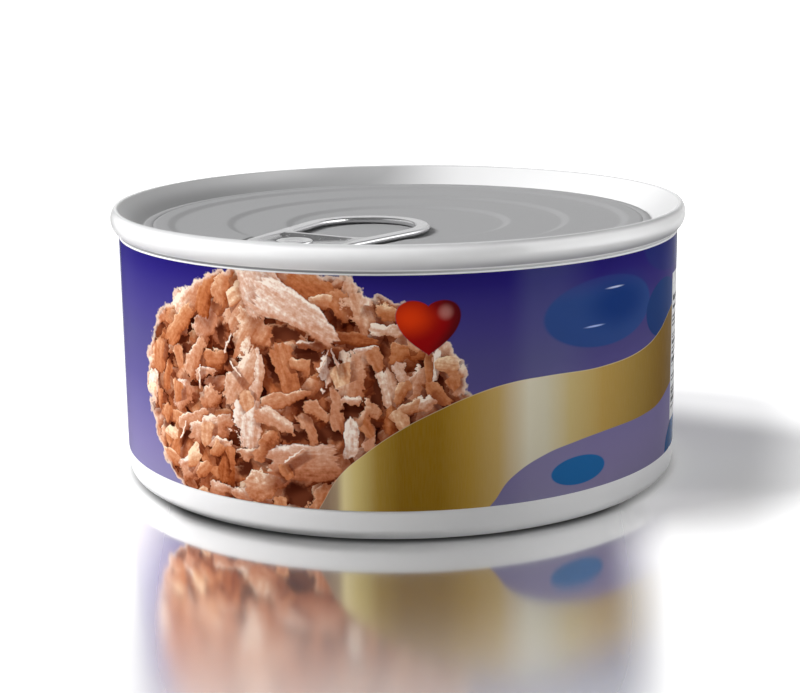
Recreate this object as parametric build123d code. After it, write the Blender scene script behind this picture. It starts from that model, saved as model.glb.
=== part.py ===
from build123d import *
import os
from math import asin, cos, degrees, radians, sin, sqrt, tan

# Shallow drawn tuna can with an easy-open end, a ring pull and a wrap-around label.
# Millimetres, +Z up. The origin is the centre of the base, on the surface the can stands on.
# The front of the can is -Y. The pull tab points to the front left.

# ---- can body ----
can_height = 40.0        # base to the top of the seam
body_radius = 41.7
base_corner_radius = 1.7
foot_width = 1.6         # flat ring that the can stands on
base_slope_width = 1.4   # from the foot in to the base panel
base_panel_depth = 0.8   # how far the base panel is set up above the foot
base_bead_inset = 8.0    # from the edge of the base panel to the first bead
base_bead_pitch = 9.0
base_bead_depth = 0.3
base_bead_count = 2

# ---- seam and chuck wall of the lid ----
crown_offset = 0.45      # crown of the seam, out from the body wall
crown_radius = 0.4
crown_turn = 55.0        # degrees the crown turns before the outer bead takes over
seam_bead_radius = 2.4
chuck_angle = 38.0       # slope of the inner wall, in degrees from level
lid_thickness = 0.25     # under the lowest part of the panel

# ---- panel of the lid ----
panel_depth = 2.75       # edge of the panel, below the crown
groove_width = 0.7       # countersink groove at the foot of the chuck wall
groove_depth = 0.2
score_inset = 1.1        # from the groove in to the score line
score_width = 0.3
score_depth = 0.1
bead_inset = 3.8         # from the edge of the panel to the first bead
bead_pitch = 8.8
bead_width = 1.6
bead_depth = 0.35        # the panel steps down by this at each bead
bead_count = 3

# ---- pull tab ----
tab_bearing = -123.0     # direction that the nose points in, degrees from +X
tab_length = 34.0
tab_height = 0.9
ring_radius = 9.7        # outside of the finger ring
nose_radius = 7.6
nose_gap = 4.3           # from the tip of the nose out to the edge of the panel
bar_width = 2.2          # rolled edge all round the tab
bar_round = 0.4
web_bar_width = 1.8      # rolled edge between the finger hole and the web
finger_hole_length = 17.3
finger_hole_corner = 2.0
web_top_drop = 0.15      # web below the top of the rolled edge
web_bottom_rise = 0.35   # web above the bottom of the rolled edge
web_corner = 1.2
tab_clearance = 0.15     # under the tab, over the floor of its well
well_clearance = 0.8     # around the tab, at the floor of its well
well_draft = 40.0        # slope of the well's side, in degrees from upright

# ---- rivet that holds the tab ----
rivet_from_nose = 7.0
rivet_radius = 1.6
rivet_clearance = 0.05
rivet_head_radius = 2.6
rivet_head_height = 0.4
rivet_head_round = 0.25
boss_radius = 3.3

# ---- label ----
label_thickness = 0.1
label_bottom = 4.33
label_gap = 0.23         # bare band between the label and the seam
lap_width = 9.0          # the label's free end, laid over its start at the back
label_lap_bearing = 90.0

# ---- places that follow from the sizes above ----
crown_r = body_radius + crown_offset
crown_z = can_height - crown_radius
seam_bead_r = crown_r - (seam_bead_radius - crown_radius) * sin(radians(crown_turn))
seam_bead_z = crown_z - (seam_bead_radius - crown_radius) * cos(radians(crown_turn))
lip_z = seam_bead_z - sqrt(seam_bead_radius ** 2 - (body_radius - seam_bead_r) ** 2)

chuck_top_r = crown_r - crown_radius * sin(radians(chuck_angle))
chuck_top_z = crown_z + crown_radius * cos(radians(chuck_angle))
panel_z = can_height - panel_depth
chuck_foot_r = chuck_top_r - (chuck_top_z - panel_z) / tan(radians(chuck_angle))
panel_radius = chuck_foot_r - groove_width
floor_z = panel_z - bead_count * bead_depth
seat_z = floor_z - lid_thickness

nose_tip = panel_radius - nose_gap
nose_x = nose_tip - nose_radius
ring_x = nose_tip - tab_length + ring_radius
hole_front = ring_x - ring_radius + bar_width + finger_hole_length
tab_z = floor_z + tab_clearance
web_bottom_z = tab_z + web_bottom_rise
web_top_z = tab_z + tab_height - web_top_drop
rivet_x = nose_tip - rivet_from_nose

label_top = lip_z - label_gap

STANDING = (Align.CENTER, Align.CENTER, Align.MIN)


def step_in(start_r, start_z, width, drop):
    """Two tangent arcs that carry a level surface inwards and down (or up) to a new level."""
    start = (start_r, start_z)
    middle = (start_r - width / 2, start_z - drop / 2)
    end = (start_r - width, start_z - drop)
    TangentArc(start, middle, tangent=(-1, 0))
    TangentArc(end, middle, tangent=(1, 0))
    return end


def turned(section):
    """A solid of revolution about the can's axis, from a section in the XZ plane."""
    return revolve(section.sketch, axis=Axis.Z)


def make_can_body():
    """The drawn can, closed below, filled up to the underside of the lid."""
    foot_outer = body_radius - base_corner_radius
    foot_inner = foot_outer - foot_width
    with BuildSketch(Plane.XZ) as section:
        with BuildLine():
            Line((0, seat_z), (body_radius, seat_z))
            Line((body_radius, seat_z), (body_radius, base_corner_radius))
            TangentArc((body_radius, base_corner_radius), (foot_outer, 0), tangent=(0, -1))
            Line((foot_outer, 0), (foot_inner, 0))
            end = step_in(foot_inner, 0, base_slope_width, -base_panel_depth)
            bead_r = end[0] - base_bead_inset
            for _ in range(base_bead_count):
                Line(end, (bead_r, end[1]))
                end = step_in(bead_r, end[1], bead_width, -base_bead_depth)
                bead_r -= base_bead_pitch
            Line(end, (0, end[1]))
            Line((0, end[1]), (0, seat_z))
        make_face()
    return turned(section)


def lid_disc():
    """The seam's bead, the chuck wall and the panel that steps down to the centre."""
    crown_out = (
        crown_r + crown_radius * sin(radians(crown_turn)),
        crown_z + crown_radius * cos(radians(crown_turn)),
    )
    score_r = panel_radius - score_inset
    with BuildSketch(Plane.XZ) as section:
        with BuildLine():
            Line((0, seat_z), (body_radius, seat_z))
            Line((body_radius, seat_z), (body_radius, lip_z))
            ThreePointArc(
                (body_radius, lip_z), (seam_bead_r + seam_bead_radius, seam_bead_z), crown_out
            )
            TangentArc((crown_r, can_height), crown_out, tangent=(1, 0))
            TangentArc((crown_r, can_height), (chuck_top_r, chuck_top_z), tangent=(-1, 0))
            Line((chuck_top_r, chuck_top_z), (chuck_foot_r, panel_z))
            ThreePointArc(
                (chuck_foot_r, panel_z),
                (chuck_foot_r - groove_width / 2, panel_z - groove_depth),
                (panel_radius, panel_z),
            )
            Polyline(
                (panel_radius, panel_z),
                (score_r + score_width / 2, panel_z),
                (score_r, panel_z - score_depth),
                (score_r - score_width / 2, panel_z),
                (panel_radius - bead_inset + bead_width / 2, panel_z),
            )
            end = (panel_radius - bead_inset + bead_width / 2, panel_z)
            for index in range(bead_count):
                bead_r = panel_radius - bead_inset - index * bead_pitch + bead_width / 2
                if index:
                    Line(end, (bead_r, end[1]))
                end = step_in(bead_r, end[1], bead_width, bead_depth)
            Line(end, (0, end[1]))
            Line((0, end[1]), (0, seat_z))
        make_face()
    return turned(section)


def tab_outline(grow=0.0):
    """Plan of the tab, with its nose along +X: the ring's arc, the nose's arc and their tangents."""
    ring_r = ring_radius + grow
    nose_r = nose_radius + grow
    lean = asin((ring_r - nose_r) / (nose_x - ring_x))
    ring_left = (ring_x + ring_r * sin(lean), ring_r * cos(lean))
    nose_left = (nose_x + nose_r * sin(lean), nose_r * cos(lean))
    ring_right = (ring_left[0], -ring_left[1])
    nose_right = (nose_left[0], -nose_left[1])
    with BuildSketch() as plan:
        with BuildLine():
            ThreePointArc(ring_left, (ring_x - ring_r, 0), ring_right)
            Line(ring_right, nose_right)
            ThreePointArc(nose_right, (nose_x + nose_r, 0), nose_left)
            Line(nose_left, ring_left)
        make_face()
    return plan.sketch


def tab_window(low_x, high_x, corner):
    """The part of the tab's plan inside its rolled edge, between two places along the tab."""
    slab = Pos((low_x + high_x) / 2, 0) * Rectangle(high_x - low_x, 2 * ring_radius)
    window = tab_outline(-bar_width) & slab
    cuts = [x for x in (low_x, high_x) if ring_x - ring_radius < x < nose_tip]
    sharp = [point for point in window.vertices() if any(abs(point.X - x) < 1e-6 for x in cuts)]
    return fillet(sharp, corner)


def make_pull_tab():
    """Finger ring, rolled edge, sunken web with the rivet's hole, and nose."""
    far_behind = ring_x - 2 * ring_radius
    far_ahead = nose_tip + ring_radius
    plan = tab_outline() - tab_window(far_behind, hole_front, finger_hole_corner)
    tab = extrude(Pos(0, 0, tab_z) * plan, tab_height)
    rims = tab.edges().filter_by(lambda edge: abs(edge.tangent_at(0.5).Z) < 1e-6)
    tab = fillet(rims, min(bar_round, 0.45 * tab_height))
    web = tab_window(hole_front + web_bar_width, far_ahead, web_corner)
    tab -= extrude(Pos(0, 0, tab_z) * web, web_bottom_rise)
    tab -= extrude(Pos(0, 0, web_top_z) * web, web_top_drop)
    hole = Cylinder(rivet_radius + rivet_clearance, tab_height, align=STANDING)
    return tab - Pos(rivet_x, 0, tab_z) * hole


def tab_well():
    """The sunken place in the panel that the tab lies in, with sides that lean outwards."""
    depth = can_height - floor_z
    return extrude(Pos(0, 0, floor_z) * tab_outline(well_clearance), depth, taper=-well_draft)


def rivet():
    """Boss under the tab, shank through its web, and the flattened head that holds it."""
    boss = Pos(rivet_x, 0, floor_z) * Cylinder(boss_radius, web_bottom_z - floor_z, align=STANDING)
    shank = Pos(rivet_x, 0, floor_z) * Cylinder(rivet_radius, web_top_z - floor_z, align=STANDING)
    head = Cylinder(rivet_head_radius, rivet_head_height, align=STANDING)
    head = fillet(head.edges().sort_by(Axis.Z)[-1:], rivet_head_round)
    return boss + shank + Pos(rivet_x, 0, web_top_z) * head


def make_lid():
    """The whole easy-open end: disc, well and rivet."""
    well = Rot(0, 0, tab_bearing) * tab_well()
    reach = Cylinder(panel_radius - bead_inset / 2, can_height, align=STANDING)
    return lid_disc() - (well & reach) + Rot(0, 0, tab_bearing) * rivet()


def make_label():
    """A paper sleeve around the body, with its free end lapped over its start."""
    height = label_top - label_bottom
    inside = Cylinder(body_radius, height, align=STANDING)
    sleeve = Cylinder(body_radius + label_thickness, height, align=STANDING) - inside
    lap_angle = degrees(lap_width / body_radius)
    lap_outer = Cylinder(body_radius + 2 * label_thickness, height, arc_size=lap_angle, align=STANDING)
    lap = Rot(0, 0, label_lap_bearing - lap_angle / 2) * (lap_outer - inside)
    return Pos(0, 0, label_bottom) * (sleeve + lap)


os.makedirs("parts", exist_ok=True)
export_step(make_can_body(), "parts/can_body.step")
export_step(make_lid(), "parts/lid.step")
export_step(Rot(0, 0, tab_bearing) * make_pull_tab(), "parts/pull_tab.step")
export_step(make_label(), "parts/label.step")
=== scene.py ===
from math import asin, atan2, cos, hypot, pi, radians, sin, sqrt, tan

import bmesh
import bpy
from mathutils import Matrix, Vector


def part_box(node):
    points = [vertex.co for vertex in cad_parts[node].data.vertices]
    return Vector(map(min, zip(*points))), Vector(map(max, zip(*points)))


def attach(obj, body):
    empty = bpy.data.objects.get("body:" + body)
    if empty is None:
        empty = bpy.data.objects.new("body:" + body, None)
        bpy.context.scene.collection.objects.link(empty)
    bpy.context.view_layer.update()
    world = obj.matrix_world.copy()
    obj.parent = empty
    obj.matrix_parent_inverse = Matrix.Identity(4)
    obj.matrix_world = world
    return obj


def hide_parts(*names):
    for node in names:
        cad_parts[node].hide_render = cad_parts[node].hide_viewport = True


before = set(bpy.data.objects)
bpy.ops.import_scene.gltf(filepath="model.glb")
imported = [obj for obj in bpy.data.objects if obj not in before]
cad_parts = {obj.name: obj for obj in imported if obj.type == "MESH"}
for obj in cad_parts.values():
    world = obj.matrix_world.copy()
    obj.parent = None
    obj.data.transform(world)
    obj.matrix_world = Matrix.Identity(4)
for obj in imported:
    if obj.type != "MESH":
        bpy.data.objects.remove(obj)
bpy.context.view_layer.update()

MM = 0.001
WELD = 1e-7          # points nearer than this are merged
OFF_LEVEL = 1e-6     # a point this far above a level isn't on it

# ---- sizes read from the frame, in metres ----
body_low, body_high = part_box("can_body")
_, lid_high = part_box("lid")
label_low, label_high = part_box("label")
_, tab_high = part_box("pull_tab")

BODY_RADIUS = body_high.x
SEAM_RADIUS = lid_high.x
CAN_HEIGHT = lid_high.z
SEAT_Z = body_high.z
LABEL_BOTTOM = label_low.z
LABEL_TOP = label_high.z
LABEL_THICKNESS = -label_low.y - BODY_RADIUS
LABEL_RADIUS = BODY_RADIUS + LABEL_THICKNESS
FLOOR_Z = body_low.z

# ---- sizes of the can's own shapes, in metres ----
BASE_CORNER = 1.7 * MM
FOOT_WIDTH = 1.6 * MM
BASE_SLOPE_WIDTH = 1.4 * MM
BASE_PANEL_DEPTH = 0.8 * MM
BASE_BEAD_INSET = 8.0 * MM
BASE_BEAD_PITCH = 9.0 * MM
BASE_BEAD_DEPTH = 0.3 * MM
BASE_BEADS = 2

CROWN_OFFSET = 0.45 * MM
CROWN_RADIUS = 0.4 * MM
CROWN_TURN = radians(55.0)
SEAM_BEAD_RADIUS = 2.4 * MM
CHUCK_ANGLE = radians(38.0)
PANEL_DEPTH = 2.75 * MM
GROOVE_WIDTH = 0.7 * MM
GROOVE_DEPTH = 0.2 * MM
SCORE_INSET = 1.1 * MM
SCORE_WIDTH = 0.3 * MM
SCORE_DEPTH = 0.1 * MM
BEAD_INSET = 3.8 * MM
BEAD_PITCH = 8.8 * MM
BEAD_WIDTH = 1.6 * MM
BEAD_DEPTH = 0.35 * MM
LID_BEADS = 3

TAB_BEARING = radians(-123.0)
TAB_LENGTH = 34.0 * MM
RING_RADIUS = 9.7 * MM
NOSE_RADIUS = 7.6 * MM
NOSE_GAP = 4.3 * MM
WELL_CLEARANCE = 0.8 * MM
WELL_DRAFT = radians(40.0)
WELL_FINE_INSIDE = 0.9 * MM          # the panel gets a finer mesh this far each side of the well's edge
WELL_FINE_OUTSIDE = 2.0 * MM
WELL_FINE_PASSES = 2
RIVET_FROM_NOSE = 7.0 * MM
RIVET_HEAD_RADIUS = 2.6 * MM
RIVET_HEAD_HEIGHT = 0.4 * MM
RIVET_HEAD_ROUND = 0.25 * MM
RIVET_SHANK_RADIUS = 1.6 * MM
RIVET_SHANK_DEPTH = 0.3 * MM         # how far the shank goes down into the web
RIVET_DIMPLE_RADIUS = 1.5 * MM
RIVET_DIMPLE_SLOPE = 0.3 * MM
RIVET_DIMPLE_DEPTH = 0.12 * MM
WEB_TOP_DROP = 0.15 * MM
LAP_WIDTH = 9.0 * MM
LAP_BEARING = radians(90.0)

TURNS = 256                          # segments round the can
RIVET_TURNS = 48
LAP_TURNS = 12
LABEL_ROWS = 8
PANEL_STEP = 0.5 * MM                # length of a facet on the level parts of the panel

# ---- places that follow ----
CROWN_R = BODY_RADIUS + CROWN_OFFSET
CROWN_Z = CAN_HEIGHT - CROWN_RADIUS
SEAM_BEAD_R = SEAM_RADIUS - SEAM_BEAD_RADIUS
SEAM_BEAD_Z = CROWN_Z - (SEAM_BEAD_RADIUS - CROWN_RADIUS) * cos(CROWN_TURN)
LIP_Z = SEAM_BEAD_Z - sqrt(SEAM_BEAD_RADIUS ** 2 - (BODY_RADIUS - SEAM_BEAD_R) ** 2)
PANEL_Z = CAN_HEIGHT - PANEL_DEPTH
CHUCK_TOP_R = CROWN_R - CROWN_RADIUS * sin(CHUCK_ANGLE)
CHUCK_TOP_Z = CROWN_Z + CROWN_RADIUS * cos(CHUCK_ANGLE)
CHUCK_FOOT_R = CHUCK_TOP_R - (CHUCK_TOP_Z - PANEL_Z) / tan(CHUCK_ANGLE)
PANEL_RADIUS = CHUCK_FOOT_R - GROOVE_WIDTH
WELL_Z = PANEL_Z - LID_BEADS * BEAD_DEPTH
NOSE_TIP = PANEL_RADIUS - NOSE_GAP
NOSE_X = NOSE_TIP - NOSE_RADIUS
RING_X = NOSE_TIP - TAB_LENGTH + RING_RADIUS
RIVET_X = NOSE_TIP - RIVET_FROM_NOSE


# ---------------------------------------------------------------- meshes

def finish_piece(name, bm, smooth_angle, material, node):
    """Turns a bmesh into a piece that stands for a CAD node and rides on the can."""
    bmesh.ops.remove_doubles(bm, verts=bm.verts, dist=WELD)
    bmesh.ops.recalc_face_normals(bm, faces=bm.faces)
    mesh = bpy.data.meshes.new(name)
    bm.to_mesh(mesh)
    bm.free()
    for polygon in mesh.polygons:
        polygon.use_smooth = True
    mesh.set_sharp_from_angle(angle=smooth_angle)
    piece = bpy.data.objects.new(name, mesh)
    bpy.context.scene.collection.objects.link(piece)
    mesh.materials.append(material)
    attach(piece, "root")
    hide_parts(node)
    return piece


def arc(centre_r, centre_z, radius, start, end, steps):
    """Points of an arc in a section, by angle from level outwards, without its first point."""
    return [
        (
            centre_r + radius * cos(start + (end - start) * k / steps),
            centre_z + radius * sin(start + (end - start) * k / steps),
        )
        for k in range(1, steps + 1)
    ]


def run(start, end, steps):
    """Evenly spaced points along a straight stretch of a section, without its first point."""
    return [
        (start[0] + (end[0] - start[0]) * k / steps, start[1] + (end[1] - start[1]) * k / steps)
        for k in range(1, steps + 1)
    ]


def step_in(start, width, drop, steps=8):
    """A smooth step inwards and down to a new level, as two tangent arcs would make."""
    points = []
    for k in range(1, steps + 1):
        t = k / steps
        ease = t * t * (3 - 2 * t)
        points.append((start[0] - width * t, start[1] - drop * ease))
    return points


def turn(bm, section, turns=TURNS, angle=2 * pi, start=0.0):
    """Spins a section, given as (radius, height) points, about the can's axis."""
    verts = [bm.verts.new((r * cos(start), r * sin(start), z)) for r, z in section]
    edges = [bm.edges.new(pair) for pair in zip(verts, verts[1:])]
    bmesh.ops.spin(
        bm, geom=verts + edges, cent=(0, 0, 0), axis=(0, 0, 1), angle=angle,
        steps=turns, use_merge=angle == 2 * pi, use_duplicate=False,
    )


def base_section():
    """Half section of the can body, from the middle of the base out and up to the seat."""
    foot_outer = BODY_RADIUS - BASE_CORNER
    foot_inner = foot_outer - FOOT_WIDTH
    points = [(foot_outer, FLOOR_Z), (foot_inner, FLOOR_Z)]
    points += step_in(points[-1], BASE_SLOPE_WIDTH, -BASE_PANEL_DEPTH)
    bead_r = points[-1][0] - BASE_BEAD_INSET
    for _ in range(BASE_BEADS):
        points.append((bead_r, points[-1][1]))
        points += step_in(points[-1], BEAD_WIDTH, -BASE_BEAD_DEPTH)
        bead_r -= BASE_BEAD_PITCH
    points.append((0, points[-1][1]))
    points.reverse()
    points += arc(foot_outer, FLOOR_Z + BASE_CORNER, BASE_CORNER, -pi / 2, 0, 8)
    points += run((BODY_RADIUS, FLOOR_Z + BASE_CORNER), (BODY_RADIUS, SEAT_Z), 4)
    points.append((0, SEAT_Z))
    return points


def make_can_body(material):
    """The drawn can, up to the seat of its lid."""
    bm = bmesh.new()
    turn(bm, base_section())
    return finish_piece("can_shell", bm, radians(40), material, "can_body")


def panel_section():
    """Half section of the lid's panel, from its edge in to the centre."""
    score_r = PANEL_RADIUS - SCORE_INSET
    points = [
        (PANEL_RADIUS, PANEL_Z),
        (score_r + SCORE_WIDTH / 2, PANEL_Z),
        (score_r, PANEL_Z - SCORE_DEPTH),
        (score_r - SCORE_WIDTH / 2, PANEL_Z),
    ]
    level = PANEL_Z
    for index in range(LID_BEADS):
        bead_r = PANEL_RADIUS - BEAD_INSET - index * BEAD_PITCH + BEAD_WIDTH / 2
        gap = points[-1][0] - bead_r
        points += run(points[-1], (bead_r, level), max(1, round(gap / PANEL_STEP)))
        points += step_in(points[-1], BEAD_WIDTH, BEAD_DEPTH)
        level -= BEAD_DEPTH
    points += run(points[-1], (0, level), 28)
    return points


def lid_section():
    """Half section of the whole lid, from the middle of its underside round to its centre."""
    bead_lip = atan2(LIP_Z - SEAM_BEAD_Z, BODY_RADIUS - SEAM_BEAD_R)
    bead_top = pi / 2 - CROWN_TURN
    points = [(0, SEAT_Z), (BODY_RADIUS, SEAT_Z), (BODY_RADIUS, LIP_Z)]
    points += arc(SEAM_BEAD_R, SEAM_BEAD_Z, SEAM_BEAD_RADIUS, bead_lip, bead_top, 24)
    points += arc(CROWN_R, CROWN_Z, CROWN_RADIUS, bead_top, pi / 2 + CHUCK_ANGLE, 10)
    points += run(points[-1], (CHUCK_FOOT_R, PANEL_Z), 10)
    groove_steps = 6
    for k in range(1, groove_steps):
        t = k / groove_steps
        dip = GROOVE_DEPTH * sin(pi * t)
        points.append((CHUCK_FOOT_R - GROOVE_WIDTH * t, PANEL_Z - dip))
    return points + panel_section()


def tab_distance(x, y, grow=0.0):
    """How far a place lies outside the tab's outline, with the nose along +x; negative inside."""
    lean = asin((RING_RADIUS - NOSE_RADIUS) / (NOSE_X - RING_X))
    y = abs(y)
    along = (x - RING_X) * cos(lean) - y * sin(lean)
    span = (NOSE_X - RING_X) * cos(lean)
    if along < 0:
        return hypot(x - RING_X, y) - RING_RADIUS - grow
    if along > span:
        return hypot(x - NOSE_X, y) - NOSE_RADIUS - grow
    return (x - RING_X) * sin(lean) + y * cos(lean) - RING_RADIUS - grow


def to_tab(x, y):
    """The lid's x and y seen along the tab and across it."""
    return (
        x * cos(TAB_BEARING) + y * sin(TAB_BEARING),
        -x * sin(TAB_BEARING) + y * cos(TAB_BEARING),
    )


def sink_well(bm):
    """Presses the tab's well into the spun panel, after refining the panel along its edge."""
    reach = PANEL_RADIUS - BEAD_INSET / 2
    depth = PANEL_Z - WELL_Z
    slope_width = depth * tan(WELL_DRAFT)

    def on_panel(vert):
        return vert.co.z > SEAT_Z + OFF_LEVEL and hypot(vert.co.x, vert.co.y) < reach

    def past_edge(vert):
        return tab_distance(*to_tab(vert.co.x, vert.co.y), WELL_CLEARANCE)

    def by_edge(vert):
        return on_panel(vert) and -WELL_FINE_INSIDE < past_edge(vert) < WELL_FINE_OUTSIDE

    for _ in range(WELL_FINE_PASSES):
        near = [edge for edge in bm.edges if all(by_edge(vert) for vert in edge.verts)]
        bmesh.ops.subdivide_edges(bm, edges=near, cuts=1, use_grid_fill=True)
    for vert in filter(on_panel, bm.verts):
        t = min(max(past_edge(vert) / slope_width, 0.0), 1.0)
        side = WELL_Z + depth * t * t * (3 - 2 * t)
        vert.co.z = min(vert.co.z, side)


def make_lid(material):
    """The easy-open end, spun and then pressed for the tab."""
    bm = bmesh.new()
    turn(bm, lid_section())
    bmesh.ops.remove_doubles(bm, verts=bm.verts, dist=WELD)
    sink_well(bm)
    return finish_piece("easy_open_lid", bm, radians(50), material, "lid")


def make_rivet(material):
    """The flattened head that holds the tab, with the top of its shank and its dimple."""
    bm = bmesh.new()
    web_top = tab_high.z - WEB_TOP_DROP
    shank_foot = web_top - RIVET_SHANK_DEPTH
    top = web_top + RIVET_HEAD_HEIGHT
    corner_r = RIVET_HEAD_RADIUS - RIVET_HEAD_ROUND
    corner_z = top - RIVET_HEAD_ROUND
    dimple_z = top - RIVET_DIMPLE_DEPTH
    section = [(0, shank_foot), (RIVET_SHANK_RADIUS, shank_foot), (RIVET_SHANK_RADIUS, web_top)]
    section += [(RIVET_HEAD_RADIUS, web_top), (RIVET_HEAD_RADIUS, corner_z)]
    section += arc(corner_r, corner_z, RIVET_HEAD_ROUND, 0, pi / 2, 6)
    section += [(RIVET_DIMPLE_RADIUS, top), (RIVET_DIMPLE_RADIUS - RIVET_DIMPLE_SLOPE, dimple_z)]
    section += [(0, dimple_z)]
    turn(bm, section, turns=RIVET_TURNS)
    place = Vector((RIVET_X * cos(TAB_BEARING), RIVET_X * sin(TAB_BEARING), 0))
    bmesh.ops.translate(bm, verts=bm.verts, vec=place)
    return finish_piece("rivet_head", bm, radians(40), material, "lid")


def make_label_lap():
    """Mesh of the free end of the label, laid over its start at the back."""
    bm = bmesh.new()
    outer = LABEL_RADIUS + LABEL_THICKNESS
    section = [
        (LABEL_RADIUS, LABEL_BOTTOM), (outer, LABEL_BOTTOM), (outer, LABEL_TOP),
        (LABEL_RADIUS, LABEL_TOP), (LABEL_RADIUS, LABEL_BOTTOM),
    ]
    lap_angle = LAP_WIDTH / BODY_RADIUS
    turn(bm, section, turns=LAP_TURNS, angle=lap_angle, start=LAP_BEARING - lap_angle / 2)
    bmesh.ops.remove_doubles(bm, verts=bm.verts, dist=WELD)
    bmesh.ops.holes_fill(bm, edges=bm.edges)
    mesh = bpy.data.meshes.new("label_lap")
    bm.to_mesh(mesh)
    bm.free()
    return mesh


def make_label(material):
    """The printed sleeve, with its lapped free end at the back."""
    bm = bmesh.new()
    section = [(BODY_RADIUS, LABEL_BOTTOM), (LABEL_RADIUS, LABEL_BOTTOM)]
    section += run(section[-1], (LABEL_RADIUS, LABEL_TOP), LABEL_ROWS)
    section += [(BODY_RADIUS, LABEL_TOP), (BODY_RADIUS, LABEL_BOTTOM)]
    turn(bm, section)
    bmesh.ops.remove_doubles(bm, verts=bm.verts, dist=WELD)
    lap = make_label_lap()
    bm.from_mesh(lap)
    bpy.data.meshes.remove(lap)
    return finish_piece("printed_label", bm, radians(40), material, "label")


def make_tab(material):
    """The ring pull: a merged copy of the frame's own solid, shaded smooth."""
    bm = bmesh.new()
    bm.from_mesh(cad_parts["pull_tab"].data)
    return finish_piece("ring_pull", bm, radians(35), material, "pull_tab")


# ---------------------------------------------------------------- materials

class Sheet:
    """Short calls for adding shader nodes to one material or group."""

    def __init__(self, tree):
        self.tree = tree

    def node(self, kind, **settings):
        made = self.tree.nodes.new(kind)
        for key, value in settings.items():
            setattr(made, key, value)
        return made

    def feed(self, socket, value):
        """Links one socket into another, or sets it to a constant; a colour is given without alpha."""
        if isinstance(value, bpy.types.NodeSocket):
            self.tree.links.new(value, socket)
        elif socket.type == "RGBA":
            socket.default_value = (*value, 1.0)
        elif value is not None:
            socket.default_value = value

    def math(self, operation, a, b=None, c=None):
        made = self.node("ShaderNodeMath", operation=operation)
        for socket, value in zip(made.inputs, (a, b, c)):
            self.feed(socket, value)
        return made.outputs[0]

    def plus(self, a, b):
        return self.math("ADD", a, b)

    def minus(self, a, b):
        return self.math("SUBTRACT", a, b)

    def over(self, a, b):
        return self.math("DIVIDE", a, b)

    def times(self, first, *others):
        for other in others:
            first = self.math("MULTIPLY", first, other)
        return first

    def vector(self, operation, a, b=None, scale=None):
        made = self.node("ShaderNodeVectorMath", operation=operation)
        self.feed(made.inputs[0], a)
        self.feed(made.inputs[1], b)
        if scale is not None:
            self.feed(made.inputs["Scale"], scale)
        return made.outputs["Value" if operation == "LENGTH" else "Vector"]

    def turned(self, vector, angle):
        """A vector turned about z."""
        made = self.node("ShaderNodeVectorRotate", rotation_type="Z_AXIS")
        self.feed(made.inputs["Vector"], vector)
        self.feed(made.inputs["Angle"], angle)
        return made.outputs[0]

    def ramp(self, value, low, high, out_low=0.0, out_high=1.0, smooth=True):
        """Goes from one value to another while its input crosses a range, and stays level past it."""
        kind = "SMOOTHSTEP" if smooth else "LINEAR"
        made = self.node("ShaderNodeMapRange", interpolation_type=kind)
        for name, item in (
            ("Value", value), ("From Min", low), ("From Max", high),
            ("To Min", out_low), ("To Max", out_high),
        ):
            self.feed(made.inputs[name], item)
        return made.outputs["Result"]

    def window(self, value, low, high, edge=0.2):
        """1 from low to high, 0 outside, with a narrow edge inside each end."""
        return self.times(self.ramp(value, low, low + edge), self.ramp(value, high, high - edge))

    def mix(self, factor, a, b, blend="MIX"):
        """Blends two colours."""
        made = self.node("ShaderNodeMix", data_type="RGBA", blend_type=blend)
        colours = [socket for socket in made.inputs if socket.type == "RGBA"]
        for socket, value in zip((made.inputs[0], *colours), (factor, a, b)):
            self.feed(socket, value)
        return next(socket for socket in made.outputs if socket.type == "RGBA")

    def colours(self, value, stops):
        """A colour ramp through (place, colour) stops."""
        made = self.node("ShaderNodeValToRGB")
        elements = made.color_ramp.elements
        while len(elements) < len(stops):
            elements.new(0.5)
        for element, (place, colour) in zip(elements, stops):
            element.position = place
            element.color = (*colour, 1.0)
        self.feed(made.inputs["Fac"], value)
        return made.outputs["Color"]

    def noise(self, vector, scale, detail=2.0, roughness=0.5, output="Fac"):
        made = self.node("ShaderNodeTexNoise", noise_dimensions="3D")
        self.feed(made.inputs["Vector"], vector)
        self.feed(made.inputs["Scale"], scale)
        self.feed(made.inputs["Detail"], detail)
        self.feed(made.inputs["Roughness"], roughness)
        return made.outputs[output]

    def split(self, vector):
        made = self.node("ShaderNodeSeparateXYZ")
        self.feed(made.inputs[0], vector)
        return made.outputs

    def join(self, x=0.0, y=0.0, z=0.0):
        made = self.node("ShaderNodeCombineXYZ")
        for socket, value in zip(made.inputs, (x, y, z)):
            self.feed(socket, value)
        return made.outputs[0]

    def group(self, tree, **values):
        """Places a shader group; an underscore in a name stands for a space."""
        made = self.node("ShaderNodeGroup")
        made.node_tree = tree
        for key, value in values.items():
            self.feed(made.inputs[key.replace("_", " ")], value)
        return made.outputs[0]

    def blend_shaders(self, factor, a, b):
        made = self.node("ShaderNodeMixShader")
        for socket, value in zip(made.inputs, (factor, a, b)):
            self.feed(socket, value)
        return made.outputs[0]


def srgb(red, green, blue):
    """A colour written as 0 to 255 steps, in the linear values that the sockets take."""
    def linear(step):
        value = step / 255
        return value / 12.92 if value <= 0.04045 else ((value + 0.055) / 1.055) ** 2.4
    return (linear(red), linear(green), linear(blue))


def pale(level, extra_blue=0.0):
    """A grey or white that leans a little to blue."""
    return (level, level, level + extra_blue)


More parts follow.
